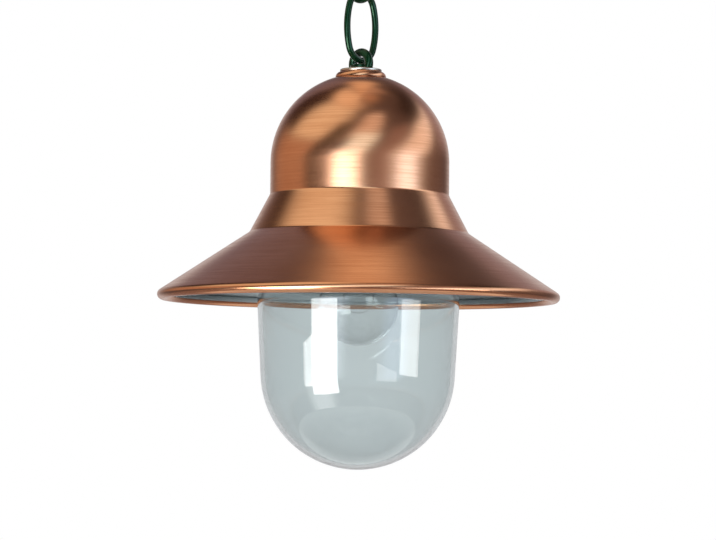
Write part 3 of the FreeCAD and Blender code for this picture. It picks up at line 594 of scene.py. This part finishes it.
class LAMP_OT_shade(bpy.types.Operator):
    """Spin the copper shade and cut its cable inlet"""
    bl_idname = "lamp.shade"
    bl_label = "Shade"

    def execute(self, context):
        size = context.scene.hanging_lamp.shade
        bead_radius = size.bead / 2
        rim_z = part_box("shade")[0].z + bead_radius
        brim_z = rim_z + size.brim_height
        collar_z = brim_z + size.collar_height
        dome_z = collar_z + size.dome_wall
        bead = Vector((size.rim_radius - bead_radius, rim_z))
        collar_foot = Vector((size.collar_radius, brim_z))
        to_bead = bead - collar_foot
        slope = math.atan2(to_bead.y, to_bead.x) + math.asin(bead_radius / to_bead.length)
        start = slope + math.pi / 2
        curl = arc(bead, bead_radius, start, start - size.curl, 0.6 * MM)
        dome_start = math.acos(size.stud_hole / size.dome_radius)
        points = arc(Vector((0, dome_z)), size.dome_radius, dome_start, 0, 2.4 * MM)
        points += rounded(
            [points[-1], Vector((size.dome_radius, collar_z)), collar_foot, curl[0]],
            [size.crease, size.crease], 3.5 * MM)
        profile = sheet(points + curl, size.sheet)
        lining_row = len(points) + round(len(curl) * size.lining_turn / size.curl)
        mesh = spun(profile, "spun brushed copper", lining_row, "grey satin lacquer", segments=208)

        tilt = Matrix.Rotation(-size.inlet_tilt, 4, "X")
        place = Matrix.Translation((0, 0, dome_z)) @ tilt @ Matrix.Translation((0, 0, size.dome_radius))
        cut = bmesh.new()
        bmesh.ops.create_cone(
            cut, cap_ends=True, segments=48, radius1=size.inlet_hole / 2, radius2=size.inlet_hole / 2,
            depth=size.dome_radius / 2, matrix=place)
        cutter_mesh = bpy.data.meshes.new("inlet cutter")
        cut.to_mesh(cutter_mesh)
        cut.free()
        cutter = bpy.data.objects.new("inlet_cutter", cutter_mesh)
        whole = bpy.data.objects.new("whole_shade", mesh)
        for part in (cutter, whole):
            context.scene.collection.objects.link(part)
        hole = whole.modifiers.new("inlet", "BOOLEAN")
        hole.operation = "DIFFERENCE"
        hole.object = cutter
        cut_mesh = bpy.data.meshes.new_from_object(whole.evaluated_get(context.evaluated_depsgraph_get()))
        for part in (cutter, whole):
            bpy.data.objects.remove(part)
        piece("copper_shade", cut_mesh, "lamp", "copper", "shade")
        return {"FINISHED"}


class LAMP_OT_top(bpy.types.Operator):
    """Make the eye, the plated washer, the copper rosette and the cable grommet on top of the shade"""
    bl_idname = "lamp.top"
    bl_label = "Top fittings"

    def execute(self, context):
        size = context.scene.hanging_lamp.shade
        low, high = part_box("cap_rosette")
        edge = high.z - low.z - size.rosette_lip
        corners = [Vector((size.stud_hole, high.z)), Vector((high.x, high.z)), Vector((high.x, low.z))]
        profile = sheet(rounded(corners, [edge], 1.5 * MM), size.rosette_sheet)
        piece("rosette", spun(profile, "spun brushed copper"), "lamp", "copper", "cap_rosette")

        low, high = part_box("top_washer")
        corners = [
            Vector((size.stud_hole, high.z)), Vector((high.x, high.z)),
            Vector((high.x, low.z)), Vector((size.stud_hole, low.z))]
        profile = single(rounded(corners, [size.washer_round] * 2, 1.5 * MM))
        washer = spun(profile + profile[:1], "bright nickel plate")
        piece("plated_washer", washer, "lamp", "nickel", "top_washer")

        eye = smooth_copy("eye_bolt", material("green stoved enamel"))
        foot_z = high.z + size.eye_foot
        web_top_z = foot_z + size.eye_web
        sunk_z = foot_z - size.eye_web / 4
        sunk_round = 0.1 * MM
        corners = [
            Vector((0, web_top_z)), Vector((size.eye_web_radius - size.eye_web, web_top_z)),
            Vector((size.eye_web_radius, sunk_z)), Vector((0, sunk_z))]
        profile = rounded(corners, [size.eye_web, sunk_round], 0.5 * MM)
        web = spun(profile, "green stoved enamel", segments=64)
        piece("eye", joined(eye, web), "lamp", "green_paint", "eye_bolt", mirrored=False)
        piece("inlet_grommet", smooth_copy("cable_grommet", material("moulded black rubber")),
              "lamp", "rubber", "cable_grommet")
        return {"FINISHED"}


class LAMP_OT_chain(bpy.types.Operator):
    """Bend the two oval links and the ceiling hook with its threaded shank"""
    bl_idname = "lamp.chain"
    bl_label = "Chain and hook"

    def execute(self, context):
        size = context.scene.hanging_lamp.chain
        half_length = (size.link_length + size.link_wire) / 2
        half_width = (size.link_width + size.link_wire) / 2
        end_z = half_length - size.link_end
        side = (half_width ** 2 + end_z ** 2 - size.link_end ** 2) / (2 * (half_width - size.link_end))
        side_x = half_width - side
        lean = math.atan2(end_z, -side_x)
        right = arc(Vector((side_x, 0)), side, -lean, lean, 1.2 * MM)
        top = arc(Vector((0, end_z)), size.link_end, lean, math.pi - lean, 1.2 * MM)
        path = single(right + top + [-point for point in right] + [-point for point in top])[:-1]
        for node, plane in (("chain_link_upper", size.plane + math.pi / 2), ("chain_link_lower", size.plane)):
            low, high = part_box(node)
            level = (low.z + high.z) / 2
            mesh = bent(upright(path), size.link_wire / 2, "green stoved enamel", plane, level, closed=True)
            body = node[len("chain_link_"):] + "_link"
            piece(node + "_wire", mesh, body, "green_paint", node, mirrored=False)

        wire = size.hook_wire / 2
        bend_z = -size.plate - size.hook_neck
        bow_z = bend_z - math.sqrt((size.hook_bow + size.hook_bend) ** 2 - size.hook_bend ** 2)
        join = math.atan2(bend_z - bow_z, size.hook_bend)
        path = run(Vector((0, -size.plate / 2)), Vector((0, bend_z)), MM)
        path += arc(Vector((size.hook_bend, bend_z)), size.hook_bend, math.pi, math.pi + join, 0.8 * MM)
        path += arc(Vector((0, bow_z)), size.hook_bow, join, size.hook_tip - 2 * math.pi, MM)
        bow = bent(upright(single(path)), wire, "green stoved enamel", size.plane)
        tip = bmesh.new()
        end = Matrix.Rotation(size.plane, 4, "Z") @ Vector((path[-1].x, 0, path[-1].y))
        bmesh.ops.create_uvsphere(
            tip, u_segments=32, v_segments=16, radius=wire, matrix=Matrix.Translation(end))
        for face in tip.faces:
            face.smooth = True
        tip_mesh = bpy.data.meshes.new("hook tip")
        tip.to_mesh(tip_mesh)
        tip.free()
        top_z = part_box("ceiling_hook")[1].z
        shank = [Vector((0, top_z)), Vector((wire / 6, top_z))]
        shank += run(Vector((wire / 6, top_z)), Vector((wire, size.shank)), 0.4 * MM)
        shank += run(Vector((wire, size.shank)), Vector((wire, 0)), 0.4 * MM)
        plate = [(wire, 0), (size.plate_radius, 0), (size.plate_radius, -size.plate), (0, -size.plate)]
        shank += rounded(
            [Vector(corner) for corner in plate], [size.plate_round / 3, size.plate_round], 2 * MM)
        thread_low, thread_high = 4 * MM, size.shank + 4 * MM
        thread = (size.thread_depth, size.thread_pitch, thread_low, thread_high)
        screw = spun(single(shank), "green stoved enamel", segments=64, thread=thread)
        hook = joined(screw, bow, tip_mesh)
        piece("screw_hook", hook, "hook", "green_paint", "ceiling_hook", mirrored=False)
        return {"FINISHED"}


class LAMP_OT_glass(bpy.types.Operator):
    """Blow the glass with the thread on its neck, and its rubber seal"""
    bl_idname = "lamp.glass"
    bl_label = "Glass"

    def execute(self, context):
        size = context.scene.hanging_lamp.glass
        low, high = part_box("glass_jar")
        ledge_z = high.z - size.neck_height
        drop = ledge_z - size.shoulder - low.z
        narrowing = size.radius * math.cos(size.taper) - drop * math.sin(size.taper)
        bottom = narrowing / (1 - math.sin(size.taper))
        bottom_points = arc(Vector((0, low.z + bottom)), bottom, -size.taper, -math.pi / 2, 2 * MM)
        ledge_radius = size.radius + size.shoulder * math.tan(size.taper)
        neck = Vector((size.neck_radius, ledge_z))
        neck_end = neck + Vector((0, 1.5 * size.neck_round))
        points = run(Vector((size.neck_radius, high.z)), neck_end, 0.6 * MM)
        points += rounded(
            [points[-1], neck, Vector((ledge_radius, ledge_z)), bottom_points[0]],
            [size.neck_round, size.shoulder], 3 * MM, steps=16)
        profile = sheet(points + bottom_points, size.wall)
        thread_low = ledge_z + 5 * MM
        thread = (size.thread_depth, size.thread_pitch, thread_low, high.z)
        mesh = spun(profile, "blown clear glass", segments=160, thread=thread)
        piece("glass", mesh, "glass", "clear_glass", "glass_jar")
        seal = smooth_copy("glass_seal", material("moulded black rubber"))
        piece("seal_ring", seal, "seal", "rubber", "glass_seal")
        return {"FINISHED"}


class LAMP_OT_bulb(bpy.types.Operator):
    """Make the clear bulb with its threaded cap and coiled filament"""
    bl_idname = "lamp.bulb"
    bl_label = "Bulb"

    def execute(self, context):
        size = context.scene.hanging_lamp.bulb
        low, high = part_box("bulb_envelope")
        middle_z = low.z + size.radius
        flare_x = size.neck_radius + size.flare
        flare_z = middle_z + math.sqrt((size.radius + size.flare) ** 2 - flare_x ** 2)
        lean = math.atan2(flare_z - middle_z, flare_x)
        points = run(Vector((size.neck_radius, high.z)), Vector((size.neck_radius, flare_z)), 2 * MM)
        points += arc(Vector((flare_x, flare_z)), size.flare, math.pi, math.pi + lean, 1.2 * MM)
        points += arc(Vector((0, middle_z)), size.radius, lean, -math.pi / 2, 1.2 * MM)
        profile = sheet(points, size.wall)
        envelope = spun(profile, "thin bulb glass", segments=96)
        piece("bulb_glass", envelope, "lamp", "bulb_glass", "bulb_envelope")

        low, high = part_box("bulb_cap")
        tip_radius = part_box("bulb_tip")[1].x
        corners = [Vector((tip_radius, high.z)), Vector((high.x, high.z)), Vector((high.x, low.z))]
        profile = sheet(rounded(corners, [size.cap_round], 0.45 * MM), size.cap_sheet)
        thread_low, thread_high = low.z + 3 * MM, high.z - 2 * MM
        thread = (size.thread_depth, size.thread_pitch, thread_low, thread_high)
        cap = spun(profile, "drawn aluminium", segments=72, thread=thread)
        piece("threaded_cap", cap, "lamp", "cap_metal", "bulb_cap")

        low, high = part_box("bulb_filament")
        reach = high.x - (high.y - low.y) / 2
        level = low.z + (high.y - low.y) / 2 + reach
        coil = []
        coil_turns, coil_steps = 56, 10
        coil_radius = size.filament * 0.4
        strand_radius = size.filament * 0.12
        for step in range(coil_turns * coil_steps + 1):
            swing = math.pi + math.pi * step / (coil_turns * coil_steps)
            spin = 2 * math.pi * step / coil_steps
            out = reach + coil_radius * math.cos(spin)
            coil.append((out * math.cos(swing), coil_radius * math.sin(spin), level + out * math.sin(swing)))
        filament = bent(coil, strand_radius, "drawn filament wire", sides=6)
        piece("coiled_filament", filament, "lamp", "filament_wire", "bulb_filament")
        return {"FINISHED"}


class LAMP_OT_fittings(bpy.types.Operator):
    """Give the fittings inside the lamp their finishes"""
    bl_idname = "lamp.fittings"
    bl_label = "Inner fittings"

    def execute(self, context):
        finishes = {
            "moulded black rubber": ["top_gasket"],
            "zinc plated steel": ["dished_washer", "spring_washer", "stud_nut", "yoke", "yoke_screws",
                                  "yoke_nuts", "lampholder_screws", "block_screw"],
            "turned brass": ["lampholder_shell", "lampholder_contact", "terminal_screws", "earth_screw"],
            "ivory moulded urea": ["terminal_block"],
            "brown PVC lead": ["lead_live"],
            "blue PVC lead": ["lead_neutral"],
            "drawn aluminium": ["bulb_tip"],
            "black vitrite": ["bulb_insulator"],
            "thin bulb glass": ["bulb_stem"],
            "drawn filament wire": ["bulb_supports"],
        }
        for finish, nodes in finishes.items():
            for node in nodes:
                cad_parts[node].material_slots[0].material = material(finish)
        piece("gallery_cup", smooth_copy("glass_gallery", material("cast aluminium")),
              "lamp", "cast_aluminium", "glass_gallery")
        piece("porcelain_holder", smooth_copy("lampholder_body", material("glazed porcelain")),
              "lamp", "white_ceramic", "lampholder_body")
        return {"FINISHED"}


# Stage. Directions are seen from the lamp: azimuth from the camera's side to the right, and elevation.

FLOOR_RADIUS = 2.4
# The floor fades to white between these distances from the middle of the ceiling.
FADE_START, FADE_END = 2.6, 3.3
ROOM_RADIUS = 3.4
ROOM_BASE = (0.12, 0.10, 0.11)
ROOM_STRIPS = [
    # azimuth at the horizon, lean, half width, lowest and highest elevation in degrees, tone
    (108, 0.0, 22, -5, 24, (0.18, 0.15, 0.16)),
    (148, 0.0, 22, 12, 36, (0.36, 0.31, 0.36)),
    (118, 0.0, 36, 38, 58, (0.04, 0.03, 0.03)),
    (-100, 0.5, 44, 1, 24, (0.57, 0.38, 0.28)),
    (-92, 0.62, 44, 24, 70, (1.00, 0.94, 0.78)),
    (-132, 0.0, 24, 27, 65, (0.05, 0.03, 0.03)),
    (-158, 0.0, 14, 18, 56, (0.23, 0.20, 0.25)),
    (-80, 0.0, 90, 68, 100, (1.05, 0.88, 0.69)),
    (80, 0.0, 64, 76, 100, (0.55, 0.38, 0.28)),
    (156, 0.0, 30, 67, 100, (0.60, 0.46, 0.38)),
    (178, 0.0, 17, 56, 100, (0.92, 0.69, 0.49)),
    (18, 1.2, 18, -6, 40, (0.33, 0.26, 0.27)),
    (-26, 0.95, 20, 28, 60, (0.95, 0.87, 0.84)),
    (-20, 0.95, 18, 6, 34, (1.35, 1.80, 2.10)),
    (-70, 1.1, 13, 0, 48, (0.10, 0.08, 0.07)),
    (50, 1.75, 27, 6, 38, (1.25, 1.35, 1.50)),
    (-27, 1.2, 17, -10, 10, (4.10, 4.50, 5.20)),
    (52, 1.75, 15, -10, 11, (2.00, 2.60, 3.50)),
    (180, 0.0, 30, -90, 21, (0.68, 0.68, 0.70)),
    (0, 0.0, 400, -90, -17, (0.27, 0.21, 0.21)),
    (-46, 0.0, 16, -90, -12, (4.00, 4.00, 4.00)),
]
# Degrees over which a strip's upper and lower edges fade
EDGE_SOFTNESS = 6
SOFTBOX_TONE = (1.0, 0.99, 0.97)
SOFTBOXES = [
    # name, azimuth and elevation in degrees, distance, width and height in metres, brightness
    ("key softbox", -39, -15.0, 1.67, 0.92, 0.735, 8.0),
    ("key wing", -58, -11.6, 1.65, 0.40, 0.346, 6.0),
    ("fill softbox", 61.5, -5.0, 1.61, 0.68, 0.15, 5.0),
    ("fill wing", 34, -10.2, 1.65, 0.70, 0.16, 1.6),
]
LAMP_MIDDLE = Vector((0, 0, -0.29))


def towards(azimuth, elevation):
    """Unit vector from the lamp, of two angles in degrees."""
    side, rise = math.radians(azimuth), math.radians(elevation)
    return Vector((math.cos(rise) * math.sin(side), -math.cos(rise) * math.cos(side), math.sin(rise)))


def ramp(place):
    """Soft step from 0 to 1 round the place 0."""
    return 1 / (1 + math.exp(-4 * max(-20.0, min(20.0, place))))


def staged(name, mesh, finish):
    """Object of the stage with its material."""
    mesh.materials.append(finish)
    part = bpy.data.objects.new(name, mesh)
    bpy.context.scene.collection.objects.link(part)
    return part


def seen_directly(tree):
    """1 for rays from the camera, from a glossy surface or through glass, and 0 for rays that only light."""
    path = add(tree, "ShaderNodeLightPath").outputs
    seen = add(tree, "ShaderNodeMath", {0: path["Is Camera Ray"], 1: path["Is Glossy Ray"]}, operation="ADD")
    return add(tree, "ShaderNodeMath", {
        0: seen, 1: path["Is Transmission Ray"]}, operation="ADD", use_clamp=True)


def studio_room(radius):
    """Studio walls round the lamp, which light it and show in its reflections but not in the picture."""
    work = bmesh.new()
    bmesh.ops.create_uvsphere(work, u_segments=144, v_segments=72, radius=radius)
    mesh = bpy.data.meshes.new("studio_room")
    work.to_mesh(mesh)
    work.free()
    tones = mesh.attributes.new("wall_tone", "FLOAT_COLOR", "POINT")
    for vertex, tone in zip(mesh.vertices, tones.data):
        way = vertex.co.normalized()
        azimuth = math.degrees(math.atan2(way.x, -way.y))
        elevation = math.degrees(math.asin(max(-1.0, min(1.0, way.z))))
        shade = Vector(ROOM_BASE)
        for middle, lean, half_width, low, high, wall in ROOM_STRIPS:
            aside = (azimuth - middle - lean * elevation + 180) % 360 - 180
            across = math.exp(-(aside / half_width) ** 4)
            rise = ramp((elevation - low) / EDGE_SOFTNESS) * ramp((high - elevation) / EDGE_SOFTNESS)
            shade = shade.lerp(Vector(wall), across * rise)
        tone.color = (*shade, 1.0)
    # Painted wall: broad soft strips, which the metal and the glass show as highlights
    walls = bpy.data.materials.new("painted studio wall")
    walls.use_nodes = True
    tree = walls.node_tree
    tree.nodes.clear()
    tone = add(tree, "ShaderNodeAttribute", attribute_name="wall_tone")
    glow = add(tree, "ShaderNodeEmission", {"Color": tone, "Strength": 1.0})
    add(tree, "ShaderNodeOutputMaterial", {"Surface": glow})
    room = staged("studio_room", mesh, walls)
    room.visible_camera = False
    room.visible_transmission = False
    room.visible_shadow = False
    for vertex in mesh.vertices:
        vertex.co += LAMP_MIDDLE


def softbox(name, azimuth, elevation, distance, width, height, brightness):
    """Area light that faces the lamp, with an even brightness over its face."""
    light = bpy.data.lights.new(name, "AREA")
    light.shape = "RECTANGLE"
    light.size = width
    light.size_y = height
    light.color = SOFTBOX_TONE
    light.energy = brightness * math.pi * width * height
    box = bpy.data.objects.new(name, light)
    bpy.context.scene.collection.objects.link(box)
    way = towards(azimuth, elevation)
    box.location = LAMP_MIDDLE + way * distance
    box.rotation_euler = way.to_track_quat("Z", "Y").to_euler()
    box.visible_camera = False


class LAMP_OT_stage(bpy.types.Operator):
    """Set up the pale floor, the white background, the soft lights and the camera"""
    bl_idname = "lamp.stage"
    bl_label = "Stage"

    def execute(self, context):
        size = context.scene.hanging_lamp.stage
        scene = context.scene
        scene.view_settings.view_transform = "Standard"

        work = bmesh.new()
        bmesh.ops.create_circle(
            work, cap_ends=True, segments=96, radius=FLOOR_RADIUS,
            matrix=Matrix.Translation((0, 0, -size.floor_level)))
        mesh = bpy.data.meshes.new("floor")
        work.to_mesh(mesh)
        work.free()
        # Painted board: pale and matt, and it fades into the white background away from the lamp.
        tree, shader, place = surface("pale painted floor", linear("F2F2F0"), {"Roughness": 0.85})
        noise = add(tree, "ShaderNodeTexNoise", {"Vector": place, "Scale": 1 / (4 * MM), "Detail": 3.0})
        rough = add(tree, "ShaderNodeMapRange", {"Value": noise, "To Min": 0.75, "To Max": 0.95})
        tree.links.new(rough.outputs[0], shader.inputs["Roughness"])
        away = add(tree, "ShaderNodeVectorMath", {0: place}, operation="LENGTH")
        edge = add(tree, "ShaderNodeMapRange", {
            "Value": away.outputs["Value"], "From Min": FADE_START, "From Max": FADE_END},
            interpolation_type="SMOOTHSTEP")
        seen = seen_directly(tree)
        fade = add(tree, "ShaderNodeMix", {0: seen, 6: (*ROOM_BASE, 1.0), 7: (1, 1, 1, 1)}, data_type="RGBA")
        white = add(tree, "ShaderNodeEmission", {"Color": fade.outputs[2], "Strength": 1.0})
        mixed = add(tree, "ShaderNodeMixShader", {0: edge, 1: shader, 2: white})
        tree.links.new(mixed.outputs[0], tree.nodes["Material Output"].inputs["Surface"])
        staged("floor", mesh, bpy.data.materials["pale painted floor"])
        studio_room(ROOM_RADIUS)
        for box in SOFTBOXES:
            softbox(*box)

        world = bpy.data.worlds.new("white background")
        scene.world = world
        world.use_nodes = True
        tree = world.node_tree
        tree.nodes.clear()
        seen = seen_directly(tree)
        level = add(tree, "ShaderNodeMapRange", {"Value": seen, "To Min": size.ambient, "To Max": 1.0})
        sky = add(tree, "ShaderNodeBackground", {"Color": (1, 1, 1, 1), "Strength": level})
        add(tree, "ShaderNodeOutputWorld", {"Surface": sky})

        lens = bpy.data.cameras.new("camera")
        lens.lens = size.lens
        lens.sensor_width = 36.0
        camera = bpy.data.objects.new("camera", lens)
        scene.collection.objects.link(camera)
        camera.location = (size.aside, -size.distance, -size.eye_level)
        aim = Vector((size.aside, 0, -size.aim_level)) - camera.location
        camera.rotation_euler = (
            aim.to_track_quat("-Z", "Y").to_matrix() @ Matrix.Rotation(size.roll, 3, "Z")).to_euler()
        scene.camera = camera
        return {"FINISHED"}


OPERATORS = (
    LAMP_OT_stage, LAMP_OT_finishes, LAMP_OT_shade, LAMP_OT_top, LAMP_OT_chain, LAMP_OT_glass, LAMP_OT_bulb,
    LAMP_OT_fittings)


class LAMP_PT_sidebar(bpy.types.Panel):
    """Steps and settings of the hanging lamp"""
    bl_idname = "LAMP_PT_sidebar"
    bl_label = "Hanging lamp"
    bl_space_type = "VIEW_3D"
    bl_region_type = "UI"
    bl_category = "Lamp"

    def draw(self, context):
        settings = context.scene.hanging_lamp
        for operator in OPERATORS:
            self.layout.operator(operator.bl_idname)
        for name in settings.__annotations__:
            group = getattr(settings, name)
            box = self.layout.box()
            for key in group.__annotations__:
                box.prop(group, key)


CLASSES = (
    ShadeSizes, GlassSizes, ChainSizes, BulbSizes, Finishes, StageSettings, LampSettings,
    *OPERATORS, LAMP_PT_sidebar)


def register():
    for cls in CLASSES:
        bpy.utils.register_class(cls)
    bpy.types.Scene.hanging_lamp = bpy.props.PointerProperty(type=LampSettings)


def unregister():
    del bpy.types.Scene.hanging_lamp
    for cls in reversed(CLASSES):
        bpy.utils.unregister_class(cls)


def main():
    register()
    bpy.ops.lamp.stage()
    bpy.ops.lamp.finishes()
    bpy.ops.lamp.shade()
    bpy.ops.lamp.top()
    bpy.ops.lamp.chain()
    bpy.ops.lamp.glass()
    bpy.ops.lamp.bulb()
    bpy.ops.lamp.fittings()


if __name__ == "__main__":
    main()
